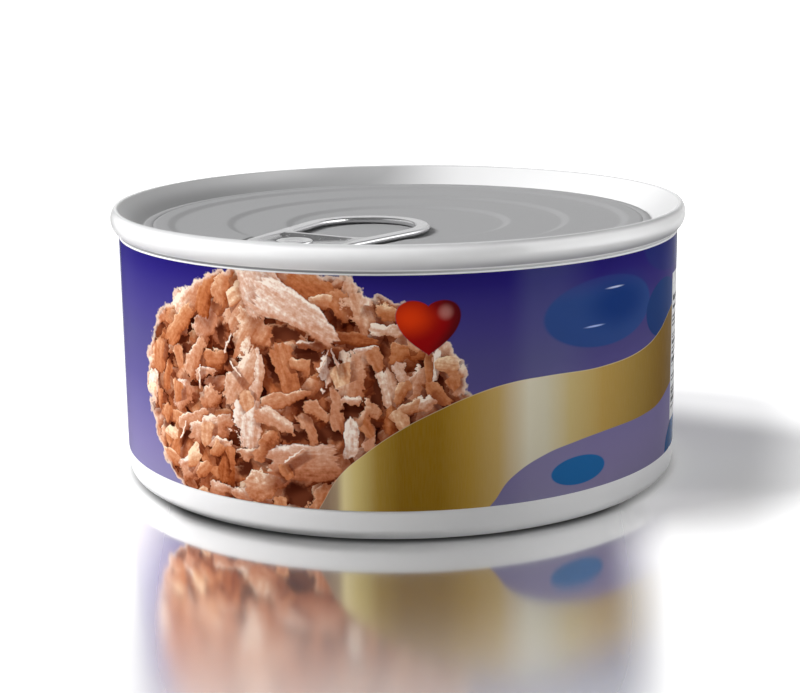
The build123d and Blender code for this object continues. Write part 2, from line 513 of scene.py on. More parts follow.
def new_group(name, inputs, output):
    """A shader group with one output; returns its sheet, its input sockets and the output to feed."""
    tree = bpy.data.node_groups.new(name, "ShaderNodeTree")
    for label, kind, value in inputs:
        socket = tree.interface.new_socket(label, in_out="INPUT", socket_type="NodeSocket" + kind)
        if value is not None:
            socket.default_value = value
    label, kind = output
    tree.interface.new_socket(label, in_out="OUTPUT", socket_type="NodeSocket" + kind)
    sheet = Sheet(tree)
    source = sheet.node("NodeGroupInput").outputs
    sink = sheet.node("NodeGroupOutput").inputs[label]
    return sheet, source, sink


def blank_material(name):
    """A material with only an output; returns it, its sheet and the socket for its surface."""
    material = bpy.data.materials.new(name)
    material.use_nodes = True
    material.node_tree.nodes.clear()
    sheet = Sheet(material.node_tree)
    output = sheet.node("ShaderNodeOutputMaterial")
    return material, sheet, output.inputs["Surface"]


def new_material(name):
    """A material with a Principled shader; returns it, its sheet and the shader."""
    material, sheet, surface = blank_material(name)
    shader = sheet.node("ShaderNodeBsdfPrincipled")
    sheet.feed(surface, shader.outputs[0])
    return material, sheet, shader


def object_place(sheet):
    """The place on the object, in millimetres."""
    coordinate = sheet.node("ShaderNodeTexCoord").outputs["Object"]
    return sheet.vector("SCALE", coordinate, scale=1 / MM)


def from_axis(sheet, x, y):
    """Distance from the can's axis."""
    return sheet.math("SQRT", sheet.plus(sheet.times(x, x), sheet.times(y, y)))


def roughen(sheet, shader, height, strength):
    """Fine unevenness of a lacquered surface."""
    bump = sheet.node("ShaderNodeBump")
    sheet.feed(bump.inputs["Height"], height)
    bump.inputs["Strength"].default_value = strength
    bump.inputs["Distance"].default_value = 0.1 * MM
    sheet.feed(shader.inputs["Normal"], bump.outputs[0])


def make_enamel():
    """White lacquer: faint unevenness in tone, gloss and surface."""
    material, sheet, shader = new_material("white_enamel")
    place = object_place(sheet)
    cloud = sheet.noise(place, 0.08, 3.0)
    sheet.feed(shader.inputs["Base Color"], sheet.mix(cloud, pale(0.91, 0.005), pale(0.95, 0.002)))
    sheet.feed(shader.inputs["Roughness"], sheet.ramp(cloud, 0.3, 0.7, 0.30, 0.38))
    shader.inputs["Specular IOR Level"].default_value = 0.2
    orange_peel = sheet.noise(place, 1.6, 2.0)
    roughen(sheet, shader, orange_peel, 0.05)
    return material


# Heights on the lid, in millimetres
SEAM_FOOT = 36.5
UNDERSIDE_TOP = 38.5
CROWN_FOOT = 39.3
CROWN_TOP = 39.9
WALL_FOOT = 37.4
WALL_TOP = 39.6


def seam_colour(sheet, x, z, cloud):
    """White lacquer of the seam, with painted shade under its bead, stronger on the right, and a painted
    shade line along its crown.
    """
    white = sheet.mix(cloud, pale(0.92, 0.005), pale(0.96, 0.002))
    # painted shade under the seam's bead, stronger towards the right
    underside = sheet.times(
        sheet.ramp(z, SEAM_FOOT, UNDERSIDE_TOP, 1.0, 0.0),
        sheet.ramp(z, SEAM_FOOT, SEAM_FOOT + 0.25),
    )
    underside = sheet.times(underside, sheet.ramp(x, -22.0, 18.0, 0.08, 0.95))
    white = sheet.mix(underside, white, pale(0.30, 0.015))
    # painted shade line along the crown, fainter on the far left
    crown = sheet.times(sheet.ramp(z, CROWN_FOOT, CROWN_TOP), sheet.ramp(x, -43.0, -34.0, 0.15, 0.5))
    return sheet.mix(crown, white, pale(0.26, 0.01))


def wall_colour(sheet, x, y, z, cloud):
    """Chuck wall with painted light and shade: painted shade low on the left, painted light at the back on
    the right.
    """
    # painted light: the upper left of the wall lighter than its shaded foot
    left = sheet.times(
        sheet.ramp(z, WALL_FOOT, WALL_TOP, 0.05, 0.8),
        sheet.ramp(x, -8.0, -24.0, 0.2, 1.0),
    )
    # painted light at the back on the right
    right = sheet.times(sheet.ramp(x, -6.0, 12.0), sheet.ramp(y, -5.0, 20.0, 0.55, 1.0))
    # the dull tone is painted shade, the bright tone painted light
    dull = sheet.mix(cloud, pale(0.37, 0.005), pale(0.41, 0.005))
    bright = sheet.mix(cloud, pale(0.75, 0.005), pale(0.80, 0.002))
    return sheet.mix(sheet.math("MAXIMUM", left, right), dull, bright)


def make_lid_metal():
    """White enamelled seam and chuck wall, both with painted light and shade, and a matte grey panel."""
    material, sheet, shader = new_material("lid_enamel")
    place = object_place(sheet)
    x, y, z = sheet.split(place)
    radius = from_axis(sheet, x, y)
    panel = sheet.ramp(radius, PANEL_RADIUS / MM - 0.1, PANEL_RADIUS / MM + 0.3, 1.0, 0.0)
    seam = sheet.ramp(radius, BODY_RADIUS / MM, BODY_RADIUS / MM + 0.3)
    cloud = sheet.noise(place, 0.12, 3.0)
    grain = sheet.noise(place, 6.0, 2.0)
    grey = sheet.mix(grain, pale(0.30, 0.005), pale(0.36, 0.005))
    outer = sheet.mix(seam, wall_colour(sheet, x, y, z, cloud), seam_colour(sheet, x, z, cloud))
    sheet.feed(shader.inputs["Base Color"], sheet.mix(panel, outer, grey))
    sheet.feed(shader.inputs["Roughness"], sheet.ramp(panel, 0.0, 1.0, 0.35, 0.55))
    shader.inputs["Specular IOR Level"].default_value = 0.08
    sheet.feed(shader.inputs["Coat Weight"], sheet.times(seam, sheet.ramp(z, 36.8, 38.4)))
    shader.inputs["Coat Roughness"].default_value = 0.16
    roughen(sheet, shader, grain, 0.08)
    return material


def make_tab_metal():
    """Bright satin metal of the ring pull."""
    material, sheet, shader = new_material("satin_metal")
    place = object_place(sheet)
    cloud = sheet.noise(place, 0.25, 2.0)
    sheet.feed(shader.inputs["Base Color"], sheet.mix(cloud, pale(0.60, 0.01), pale(0.66, 0.005)))
    sheet.feed(shader.inputs["Roughness"], sheet.ramp(cloud, 0.3, 0.7, 0.20, 0.26))
    shader.inputs["Metallic"].default_value = 0.85
    return material


# ---- the print, in millimetres: u runs round the can from its front, z is height ----

EVEN_NOISE = (0.5, 0.5, 0.5)         # taken off a noise, it leaves as much up as down
LIGHT_U, LIGHT_Z = -0.45, 0.89       # where the light on the flakes comes from
SETTLING = 0.02                      # how far a flake's outline follows the tone under it
FIBRE_STRETCH = (0.16, 1.0, 0.0)     # fibres run along the flake
END_FRAY = 0.9                       # how far fibres break up a flake's ends
CORNER_ROUND = 0.95
END_SHARE = 0.45                     # light on a flake's ends, against its long sides
SIDE_LIGHT, EDGE_LIGHT = 0.14, 0.27  # even slope of light over a flake, and its steeper edges
FIBRE_LIGHT, GRAIN_LIGHT = 0.62, 0.50
SHADOW_SHIFT = (-0.45, 0.8, 0.0)
SHADOW_GROW = 0.5
SHADOW_SHARE = 0.62
CELL_SQUEEZE = (0.62, 1.0, 1.0)      # cells of a scatter are longer than they are wide
CELL_STRETCH = (1.61, 1.0, 0.0)
SCATTER_STEP = 17.3                  # keeps the cells of two scatters apart
CURVE_TOP = 40.0


def curve(sheet, value, low, high, points):
    """A height read along a smooth line through a few (u, z) places."""
    made = sheet.node("ShaderNodeFloatCurve")
    line = made.mapping.curves[0]
    while len(line.points) < len(points):
        line.points.new(0.5, 0.5)
    for point, (u, z) in zip(line.points, points):
        point.location = ((u - low) / (high - low), z / CURVE_TOP)
    made.mapping.update()
    sheet.feed(made.inputs["Value"], sheet.ramp(value, low, high, smooth=False))
    return sheet.times(made.outputs[0], CURVE_TOP)


def make_oval_group():
    """Mask of an oval: 1 inside, 0 outside, with a soft edge of a given width."""
    sheet, source, sink = new_group(
        "oval",
        [
            ("Place", "Vector", None), ("Middle", "Vector", None),
            ("Half Size", "Vector", (1, 1, 1)), ("Soft", "Float", 0.05),
        ],
        ("Mask", "Float"),
    )
    away = sheet.vector("SUBTRACT", source["Place"], source["Middle"])
    away = sheet.vector("DIVIDE", away, source["Half Size"])
    distance = sheet.vector("LENGTH", away)
    low = sheet.minus(1.0, source["Soft"])
    high = sheet.plus(1.0, source["Soft"])
    sheet.feed(sink, sheet.ramp(distance, high, low))
    return sheet.tree


def heart_shape(sheet, place, middle, half_size):
    """Mask of a heart, 1 inside, and the distance from its middle, 1 at its outline."""
    local = sheet.vector("DIVIDE", sheet.vector("SUBTRACT", place, (*middle, 0.0)), (*half_size, 1.0))
    x, y, _ = sheet.split(local)
    side = sheet.math("ABSOLUTE", x)
    lift = sheet.times(sheet.math("POWER", side, 0.72), 0.62)
    level = sheet.minus(sheet.times(y, 1.15), lift)
    distance = sheet.vector("LENGTH", sheet.join(x, level, 0.0))
    return sheet.ramp(distance, 1.03, 0.97), distance


def make_flake_group():
    """One flake of tuna laid over what is under it, with its fibres, light side and shadow."""
    sheet, source, sink = new_group(
        "flake",
        [
            ("Place", "Vector", None), ("Middle", "Vector", (0, 0, 0)), ("Ragged", "Vector", None),
            ("Under", "Color", (0, 0, 0, 1)), ("Grain", "Float", 0.0), ("Angle", "Float", 0.0),
            ("Length", "Float", 3.0), ("Width", "Float", 1.5), ("Taper", "Float", 0.2),
            ("Bend", "Float", 0.0), ("Tone", "Float", 0.5), ("Depth", "Float", 0.5),
            ("Fray", "Float", 1.0), ("Seed", "Float", 0.0),
        ],
        ("Colour", "Color"),
    )
    # its outline
    seed = sheet.join(0.0, 0.0, source["Seed"])
    turn_back = sheet.times(source["Angle"], -1.0)
    settled = sheet.vector("SCALE", source["Under"], scale=SETTLING)
    local = sheet.vector("SUBTRACT", sheet.vector("ADD", source["Place"], settled), source["Middle"])
    straight = sheet.turned(local, turn_back)
    shift = sheet.vector("SCALE", source["Ragged"], scale=source["Fray"])
    a, b, _ = sheet.split(sheet.vector("ADD", straight, shift))
    b = sheet.plus(b, sheet.times(a, a, source["Bend"]))
    fibre_place = sheet.vector("ADD", sheet.vector("MULTIPLY", straight, FIBRE_STRETCH), seed)
    fibre = sheet.minus(sheet.noise(fibre_place, 1.15, 2.0, 0.62), 0.5)
    along = sheet.over(a, source["Length"])
    narrow = sheet.minus(1.0, sheet.times(along, source["Taper"]))
    across = sheet.over(b, sheet.times(source["Width"], narrow))
    frayed_end = sheet.plus(sheet.math("ABSOLUTE", along), sheet.times(fibre, END_FRAY))
    distance = sheet.math("SMOOTH_MAX", frayed_end, sheet.math("ABSOLUTE", across), CORNER_ROUND)
    mask = sheet.ramp(distance, 1.04, 0.96)

    # light over it, by how its surface leans, and by its fibres and grain
    cosine = sheet.math("COSINE", source["Angle"])
    sine = sheet.math("SINE", source["Angle"])
    lit_along = sheet.plus(sheet.times(cosine, LIGHT_U), sheet.times(sine, LIGHT_Z))
    lit_across = sheet.minus(sheet.times(cosine, LIGHT_Z), sheet.times(sine, LIGHT_U))
    facing = sheet.times(across, lit_across)
    facing = sheet.math("MULTIPLY_ADD", along, sheet.times(lit_along, END_SHARE), facing)
    cubed = sheet.times(facing, facing, facing)
    light = sheet.math("MULTIPLY_ADD", facing, SIDE_LIGHT, sheet.times(cubed, EDGE_LIGHT))
    light = sheet.math("MULTIPLY_ADD", fibre, FIBRE_LIGHT, light)
    light = sheet.math("MULTIPLY_ADD", source["Grain"], GRAIN_LIGHT, light)
    colour = sheet.colours(sheet.plus(light, source["Depth"]), FLESH_TONES)
    warm = sheet.mix(1.0, colour, WARM_TINT, blend="MULTIPLY")
    colour = sheet.mix(source["Tone"], warm, colour)

    # its shadow on what is under it
    fall = sheet.vector("ADD", local, SHADOW_SHIFT)
    c, d, _ = sheet.split(sheet.turned(fall, turn_back))
    past_end = sheet.over(sheet.math("ABSOLUTE", c), sheet.plus(source["Length"], SHADOW_GROW))
    past_side = sheet.over(sheet.math("ABSOLUTE", d), sheet.plus(source["Width"], SHADOW_GROW))
    cast = sheet.ramp(sheet.math("MAXIMUM", past_end, past_side), 1.3, 0.7)
    cast = sheet.times(cast, sheet.ramp(source["Length"], 0.1, 0.4, 0.0, SHADOW_SHARE))
    under = sheet.mix(cast, source["Under"], CREVICE, blend="MULTIPLY")
    sheet.feed(sink, sheet.mix(mask, under, colour))
    return sheet.tree


def make_layer_group(flake):
    """A scatter of flakes of about one size and lie, laid over what is under them."""
    sheet, source, sink = new_group(
        "flake_layer",
        [
            ("Place", "Vector", None), ("Ragged", "Vector", None), ("Under", "Color", (0, 0, 0, 1)),
            ("Grain", "Float", 0.0), ("Angle", "Float", 0.0), ("Spread", "Float", 1.0),
            ("Cell", "Float", 4.0), ("Tone", "Float", 0.5), ("Depth", "Float", 0.5),
            ("Share", "Float", 1.0), ("Seed", "Float", 0.0),
        ],
        ("Colour", "Color"),
    )
    settled = sheet.vector("SCALE", source["Under"], scale=SETTLING)
    place = sheet.turned(sheet.vector("ADD", source["Place"], settled), sheet.times(source["Angle"], -1.0))
    place = sheet.vector("MULTIPLY", place, CELL_SQUEEZE)
    place = sheet.vector("ADD", place, sheet.join(sheet.times(source["Seed"], SCATTER_STEP), 0.0, 0.0))
    cells = sheet.node("ShaderNodeTexVoronoi", voronoi_dimensions="2D", feature="F1")
    sheet.feed(cells.inputs["Vector"], place)
    sheet.feed(cells.inputs["Scale"], sheet.over(1.0, source["Cell"]))
    cells.inputs["Randomness"].default_value = 0.8
    red, green, blue = sheet.split(cells.outputs["Color"])
    away = sheet.vector("SUBTRACT", place, cells.outputs["Position"])
    away = sheet.vector("MULTIPLY", away, CELL_STRETCH)
    jitter = sheet.times(sheet.minus(red, 0.5), source["Spread"])
    size = sheet.ramp(blue, 0.0, 1.0, 0.6, 0.95, smooth=False)
    shown = sheet.math("LESS_THAN", green, source["Share"])
    size = sheet.times(size, sheet.math("MAXIMUM", shown, 0.001))
    lightness = sheet.times(sheet.minus(blue, 0.5), 0.34)
    colour = sheet.group(
        flake,
        Place=sheet.turned(away, source["Angle"]),
        Ragged=source["Ragged"],
        Grain=source["Grain"],
        Under=source["Under"],
        Angle=sheet.plus(source["Angle"], jitter),
        Length=sheet.times(size, sheet.times(source["Cell"], 0.95)),
        Width=sheet.times(size, sheet.times(source["Cell"], 0.5)),
        Taper=sheet.ramp(green, 0.0, 1.0, -0.5, 0.6, smooth=False),
        Bend=0.0,
        Tone=sheet.plus(source["Tone"], sheet.minus(green, 0.5)),
        Depth=sheet.plus(source["Depth"], lightness),
        Fray=sheet.times(source["Cell"], 0.24),
        Seed=sheet.times(red, 40.0),
    )
    sheet.feed(sink, colour)
    return sheet.tree


def make_gap_group():
    """A dark hollow between flakes, laid over what is under it."""
    sheet, source, sink = new_group(
        "gap",
        [
            ("Place", "Vector", None), ("Middle", "Vector", (0, 0, 0)), ("Ragged", "Vector", None),
            ("Under", "Color", (0, 0, 0, 1)), ("Width", "Float", 1.0), ("Height", "Float", 1.0),
            ("Tilt", "Float", 0.0),
        ],
        ("Colour", "Color"),
    )
    settled = sheet.vector("SCALE", source["Under"], scale=SETTLING)
    local = sheet.vector("ADD", sheet.vector("ADD", source["Place"], settled), source["Ragged"])
    local = sheet.vector("SUBTRACT", local, source["Middle"])
    local = sheet.turned(local, sheet.times(source["Tilt"], -1.0))
    away = sheet.vector("DIVIDE", local, sheet.join(source["Width"], source["Height"], 1.0))
    mask = sheet.ramp(sheet.vector("LENGTH", away), 1.25, 0.7)
    sheet.feed(sink, sheet.mix(mask, source["Under"], GAP_DARK))
    return sheet.tree


EVEN_LIGHT = 0.41                    # light that every side of the wall gets
KEY_LIGHT, KEY_SIDE = 0.70, radians(-84)
FILL_LIGHT, FILL_SIDE = 0.08, radians(65)
MOST_PAINT = 0.97


def lit_at(u):
    """About how much light the wall gets at a place round the can."""
    bearing = u * MM / LABEL_RADIUS
    key = KEY_LIGHT * max(0.0, cos(bearing - KEY_SIDE))
    fill = FILL_LIGHT * max(0.0, cos(bearing - FILL_SIDE))
    return EVEN_LIGHT + key + fill


def paint(red, green, blue, u):
    """The paint that shows as a given colour at a place round the can."""
    return tuple(min(MOST_PAINT, part / lit_at(u)) for part in srgb(red, green, blue))


FLAKE_WHITE = srgb(246, 226, 208)
CREVICE = srgb(142, 80, 52)
GAP_DARK = srgb(106, 52, 32)
PILE_GROUND = srgb(124, 62, 36)
WARM_TINT = (1.0, 0.84, 0.60)        # takes a flake from cream and pink towards orange
FLESH_TONES = [
    (0.02, srgb(106, 50, 28)),
    (0.25, srgb(142, 72, 40)),
    (0.49, srgb(186, 116, 82)),
    (0.69, srgb(206, 148, 118)),
    (0.85, srgb(226, 186, 164)),
    (0.98, srgb(250, 234, 220)),
]

# Scatters of flakes, from the bottom up: angle, spread, cell, tone, depth, share, seed
SCATTERS = [
    (0.9, 2.2, 4.4, 0.20, 0.42, 1.0, 1.0),
    (-0.7, 2.4, 3.6, 0.35, 0.50, 0.95, 2.0),
    (1.4, 2.0, 4.0, 0.40, 0.56, 0.9, 3.0),
    (0.3, 2.4, 2.8, 0.50, 0.62, 0.85, 4.0),
]
CRUMBS = (0.9, 2.6, 2.5, 0.60, 0.68, 0.25, 7.0)

# Dark gaps between flakes: u, z, half width, half height, tilt
GAPS = [
    (-15.2, 27.8, 2.4, 1.0, -5),
    (-12.4, 25.3, 1.9, 0.8, -20),
    (-25.0, 27.0, 0.9, 1.6, 10),
    (-24.6, 23.4, 0.9, 1.0, 0),
    (-9.2, 14.8, 2.0, 1.3, 0),
    (-21.6, 9.2, 1.4, 1.9, 5),
    (-14.0, 6.0, 2.2, 1.9, 0),
    (-3.0, 21.0, 0.6, 3.6, 4),
    (-6.6, 17.8, 1.4, 1.2, 0),
    (-14.2, 14.0, 2.6, 0.7, 10),
    (-17.0, 23.0, 0.9, 2.6, 8),
    (-13.2, 18.6, 1.3, 0.5, 0),
    (-31.8, 24.0, 1.4, 1.0, 30),
    (-29.8, 10.6, 1.3, 0.7, -40),
]

# Flakes that stand out: u, z, tilt, half length, half width, taper, bend, paleness, lightness, fray
FLAKES = [
    # top left edge
    (-38.6, 22.3, 80, 2.6, 1.3, 0.1, 0.00, 0.2, 0.62, 0.8),
    (-36.6, 19.6, 75, 2.2, 0.9, 0.2, 0.00, 0.1, 0.50, 0.7),
    (-34.6, 23.6, 10, 1.8, 0.7, 0.1, 0.00, 0.5, 0.72, 0.8),
    (-41.0, 17.3, 70, 2.4, 1.5, 0.1, 0.00, 0.9, 0.85, 1.4),
    (-33.2, 17.4, 60, 2.4, 1.6, 0.0, 0.00, 1.0, 0.66, 1.3),
    (-31.2, 31.2, 48, 4.2, 1.5, 0.2, 0.00, 0.7, 0.78, 1.0),
    (-33.4, 27.2, 46, 3.8, 1.3, 0.1, 0.00, 0.1, 0.60, 0.6),
    (-28.2, 27.8, 55, 2.4, 1.6, 0.1, 0.00, 0.9, 0.66, 1.4),
    (-30.2, 23.2, 62, 3.2, 1.2, 0.1, 0.00, 0.6, 0.66, 1.0),
    (-26.4, 23.6, 10, 1.9, 1.4, 0.2, 0.00, 0.3, 0.50, 1.2),
    (-28.4, 21.3, 5, 1.9, 0.7, 0.1, 0.05, 0.9, 0.75, 1.3),
    (-28.0, 18.0, 40, 2.1, 1.4, 0.1, 0.00, 0.6, 0.62, 1.3),
    (-27.6, 32.4, 66, 3.4, 1.2, 0.2, 0.00, 0.0, 0.52, 0.6),
    (-24.6, 33.8, 62, 2.8, 1.3, 0.2, 0.00, 0.3, 0.62, 0.9),
    # left foot
    (-38.0, 11.2, 60, 2.3, 1.1, 0.1, 0.00, 0.5, 0.70, 0.9),
    (-35.6, 14.0, -6, 3.0, 1.0, 0.1, 0.00, 0.2, 0.66, 0.5),
    (-34.8, 10.6, 74, 2.7, 1.0, 0.1, 0.00, 0.1, 0.58, 0.5),
    (-36.6, 7.9, -10, 2.9, 0.9, 0.1, 0.00, 0.3, 0.66, 0.5),
    (-32.0, 7.4, 30, 2.6, 1.7, 0.1, 0.00, 1.0, 0.66, 0.9),
    (-31.4, 14.2, 28, 3.4, 0.9, 0.2, 0.00, 0.7, 0.70, 0.9),
    (-28.4, 9.2, -52, 3.4, 0.9, 0.3, 0.00, 0.1, 0.55, 0.6),
    (-27.9, 13.4, 24, 4.3, 1.5, 0.2, 0.00, 0.8, 0.68, 1.1),
    (-25.0, 8.8, 86, 3.0, 1.3, 0.1, 0.00, 0.0, 0.34, 0.5),
    (-26.2, 12.0, 8, 2.0, 0.8, 0.1, 0.00, 0.8, 0.74, 1.3),
    (-25.6, 5.2, 4, 2.6, 0.9, 0.1, 0.00, 0.9, 0.58, 0.9),
    # middle
    (-22.2, 30.4, 58, 3.2, 1.9, 0.0, 0.00, 0.6, 0.66, 1.2),
    (-20.6, 27.2, 58, 3.6, 2.5, -0.1, 0.00, 0.5, 0.66, 1.6),
    (-21.5, 21.2, 60, 5.0, 2.2, 0.1, -0.02, 0.7, 0.72, 1.5),
    (-19.3, 21.5, 78, 3.8, 0.8, 0.1, -0.03, 0.9, 0.80, 0.7),
    (-21.4, 15.2, 84, 3.6, 1.8, 0.0, 0.00, 1.0, 0.86, 1.6),
    (-21.0, 11.0, 28, 2.3, 0.9, 0.1, -0.08, 0.7, 0.72, 1.1),
    (-15.3, 22.9, -72, 3.3, 1.6, 0.3, 0.03, 0.3, 0.52, 0.9),
    (-15.6, 19.0, 20, 3.8, 0.9, 0.3, 0.00, 0.5, 0.58, 0.7),
    (-16.8, 16.0, -22, 3.1, 1.0, 0.3, 0.03, 0.8, 0.72, 0.8),
    (-12.2, 15.4, -58, 2.6, 0.9, 0.2, 0.06, 0.6, 0.60, 0.9),
    (-10.4, 17.6, -20, 2.8, 0.8, 0.2, 0.00, 0.5, 0.58, 1.1),
    (-18.6, 12.6, 50, 2.2, 1.2, 0.1, 0.00, 0.4, 0.52, 1.4),
    (-21.0, 5.0, -6, 3.6, 1.0, 0.1, 0.00, 0.9, 0.66, 0.8),
    (-18.2, 7.6, 32, 3.7, 1.9, 0.1, 0.00, 0.6, 0.70, 1.7),
    (-10.9, 6.2, 62, 2.4, 1.3, 0.1, 0.00, 0.4, 0.60, 1.4),
    # right of the middle
    (-11.0, 33.9, -32, 3.9, 1.9, 0.1, 0.00, 0.1, 0.50, 1.1),
    (-7.8, 32.0, -50, 2.2, 1.3, 0.1, 0.00, 0.2, 0.56, 1.0),
    (-4.9, 31.0, -68, 2.8, 1.7, 0.1, 0.00, 0.6, 0.74, 1.5),
    (-3.9, 33.4, 82, 1.5, 0.7, 0.4, 0.00, 0.8, 0.85, 0.7),
    (-1.0, 31.0, -12, 2.0, 1.0, 0.1, 0.00, 0.1, 0.60, 0.9),
    (-1.4, 28.9, -8, 2.3, 0.7, 0.1, 0.00, 0.8, 0.85, 0.8),
    (-7.0, 27.6, -4, 4.2, 0.8, 0.1, 0.00, 0.1, 0.40, 0.6),
    (-10.2, 26.3, -14, 2.8, 0.8, 0.1, 0.00, 0.4, 0.58, 1.5),
    (0.6, 25.6, -10, 2.3, 1.2, 0.0, 0.00, 0.0, 0.50, 1.3),
    (-4.3, 26.4, 14, 1.6, 0.4, 0.3, 0.00, 1.0, 0.86, 0.5),
    (-9.4, 23.2, 80, 1.8, 0.9, 0.1, 0.00, 1.0, 0.88, 1.8),
    (-6.0, 22.6, 82, 3.1, 2.2, 0.0, 0.00, 0.7, 0.76, 1.6),
    (-8.5, 18.0, 98, 2.6, 0.9, 0.1, 0.02, 0.7, 0.66, 0.8),
    (-6.4, 19.5, -6, 1.2, 0.5, 0.1, 0.10, 0.9, 0.80, 0.8),
    (-4.0, 17.4, 76, 2.2, 0.9, 0.1, 0.00, 0.5, 0.66, 1.5),
    (-1.2, 20.4, -78, 3.5, 1.2, 0.2, 0.04, 0.8, 0.76, 0.9),
    (-0.8, 16.6, 80, 1.8, 1.1, 0.1, 0.00, 0.0, 0.40, 0.8),
    (0.3, 22.8, -64, 1.8, 0.7, 0.2, 0.00, 1.0, 0.78, 0.7),
    (2.4, 21.8, 66, 2.3, 1.0, 0.1, 0.00, 0.8, 0.68, 1.1),
    (3.9, 23.7, 88, 2.1, 0.6, 0.0, 0.00, 0.0, 0.58, 0.3),
    (6.4, 23.6, -62, 3.8, 1.6, 0.1, 0.00, 0.7, 0.74, 0.9),
    (4.8, 23.9, 84, 2.2, 0.4, 0.1, 0.00, 1.0, 0.95, 0.3),
    (8.8, 23.5, 14, 1.8, 1.1, 0.0, 0.00, 0.4, 0.84, 1.8),
    (5.0, 20.1, -48, 2.0, 0.9, 0.1, 0.00, 0.1, 0.56, 0.5),
    (2.6, 18.7, 30, 2.1, 1.0, 0.1, -0.06, 0.8, 0.76, 1.0),
    (-6.4, 14.2, 88, 2.6, 1.0, 0.0, 0.00, 1.0, 0.92, 0.4),
    (-4.0, 14.2, 84, 1.8, 0.8, 0.1, 0.00, 0.8, 0.66, 0.7),
    (-13.2, 10.6, 4, 5.1, 2.4, -0.1, 0.00, 1.0, 0.60, 0.5),
]

# Thin pale fibres that stick out of the flakes
HAIRS = [
    (-24.2, 25.8, 70, 1.5, 0.15, 0.4, 0.00, 1.0, 1.00, 0.5),
    (-23.0, 22.4, -48, 1.4, 0.13, 0.4, 0.00, 1.0, 0.95, 0.5),
    (-29.6, 20.6, 82, 1.6, 0.15, 0.4, 0.04, 1.0, 0.95, 0.5),
    (-9.8, 24.6, 62, 1.6, 0.14, 0.4, 0.00, 1.0, 1.00, 0.5),
    (-8.4, 25.2, 108, 1.4, 0.13, 0.4, 0.00, 1.0, 0.95, 0.5),
    (-12.4, 27.0, 8, 1.5, 0.14, 0.4, 0.03, 1.0, 0.95, 0.5),
    (-14.4, 11.4, 34, 1.7, 0.14, 0.4, 0.00, 1.0, 0.95, 0.5),
    (-33.4, 12.4, 58, 1.5, 0.14, 0.4, 0.03, 1.0, 1.00, 0.5),
]

# The long smooth flake that lies over the top of the heap
TOP_FLAKE = [
    (-19.0, 34.6, -66, 4.2, 3.2, -0.1, 0.00, 1.0, 0.84, 0.6),
    (-13.4, 31.0, -28, 6.6, 2.2, 0.45, 0.03, 1.0, 0.82, 0.4),
]


RAGGED_REACH = (3.6, 3.6, 0.0)       # how far the flakes' outlines are pushed about
SEED_STEP = 3.7                      # keeps the fibres of two flakes from being alike


def tuna_pile(sheet, place, flake):
    """Flaked tuna: scattered flakes, dark gaps, the flakes that stand out, then fibres and the top."""
    layer = make_layer_group(flake)
    gap = make_gap_group()
    ragged = sheet.noise(place, 0.42, 4.0, 0.62, output="Color")
    ragged = sheet.vector("MULTIPLY", sheet.vector("SUBTRACT", ragged, EVEN_NOISE), RAGGED_REACH)
    grain = sheet.minus(sheet.noise(place, 1.5, 2.0, 0.6), 0.5)

    def scatter(colour, angle, spread, cell, tone, depth, share, seed):
        return sheet.group(
            layer, Place=place, Ragged=ragged, Grain=grain, Under=colour, Angle=angle, Spread=spread,
            Cell=cell, Tone=tone, Depth=depth, Share=share, Seed=seed,
        )

    def lay(colour, flakes, seed):
        for index, (u, z, tilt, length, width, taper, bend, tone, depth, fray) in enumerate(flakes):
            colour = sheet.group(
                flake, Place=place, Middle=(u, z, 0.0), Ragged=ragged, Grain=grain, Under=colour,
                Angle=radians(tilt), Length=length, Width=width, Taper=taper, Bend=bend,
                Tone=tone, Depth=depth, Fray=fray, Seed=seed + SEED_STEP * index,
            )
        return colour

    colour = PILE_GROUND
    for row in SCATTERS:
        colour = scatter(colour, *row)
    for u, z, width, height, tilt in GAPS:
        colour = sheet.group(
            gap, Place=place, Middle=(u, z, 0.0), Ragged=ragged, Under=colour,
            Width=width, Height=height, Tilt=radians(tilt),
        )
    colour = lay(colour, FLAKES, seed=50.0)
    colour = scatter(colour, *CRUMBS)
    colour = lay(colour, HAIRS, seed=90.0)
    return lay(colour, TOP_FLAKE, seed=20.0)


HEAP_MIDDLE = (-16.5, 18.0, 0.0)
HEAP_HALF_SIZE = (26.0, 18.6, 1.0)
HEAP_WOBBLE = (5.0, 5.0, 0.0)        # how far its outline strays


def tuna_heap(sheet, place):
    """Mask and colour of the heap of tuna, with its ragged outline and pale rim."""
    wobble = sheet.noise(place, 0.36, 4.0, 0.52, output="Color")
    wobble = sheet.vector("SUBTRACT", wobble, EVEN_NOISE)
    frayed = sheet.vector("ADD", place, sheet.vector("MULTIPLY", wobble, HEAP_WOBBLE))
    away = sheet.vector("DIVIDE", sheet.vector("SUBTRACT", frayed, HEAP_MIDDLE), HEAP_HALF_SIZE)
    away = sheet.vector("LENGTH", away)
    heap = sheet.ramp(away, 1.008, 0.992)
    tuna = tuna_pile(sheet, place, make_flake_group())
    tuna = sheet.mix(sheet.ramp(away, 0.955, 1.0, 0.0, 0.7), tuna, FLAKE_WHITE)
    return heap, tuna


VIOLET_SHARE = 0.68                  # part of the light that the violet gives back
GROUND_FOOT, GROUND_TOP = 4.0, 36.2


def violet(red, green, blue):
    """A colour of the ground, held to the light that the print gives back."""
    return tuple(VIOLET_SHARE * part for part in srgb(red, green, blue))


VIOLET_GROUND = [
    (0.00, violet(158, 151, 196)),
    (0.12, violet(150, 140, 193)),
    (0.25, violet(136, 127, 186)),
    (0.43, violet(113, 104, 172)),
    (0.62, violet(99, 92, 159)),
    (0.75, violet(86, 77, 157)),
    (0.87, violet(69, 60, 149)),
    (0.94, violet(54, 43, 141)),
    (1.00, violet(42, 32, 129)),
]


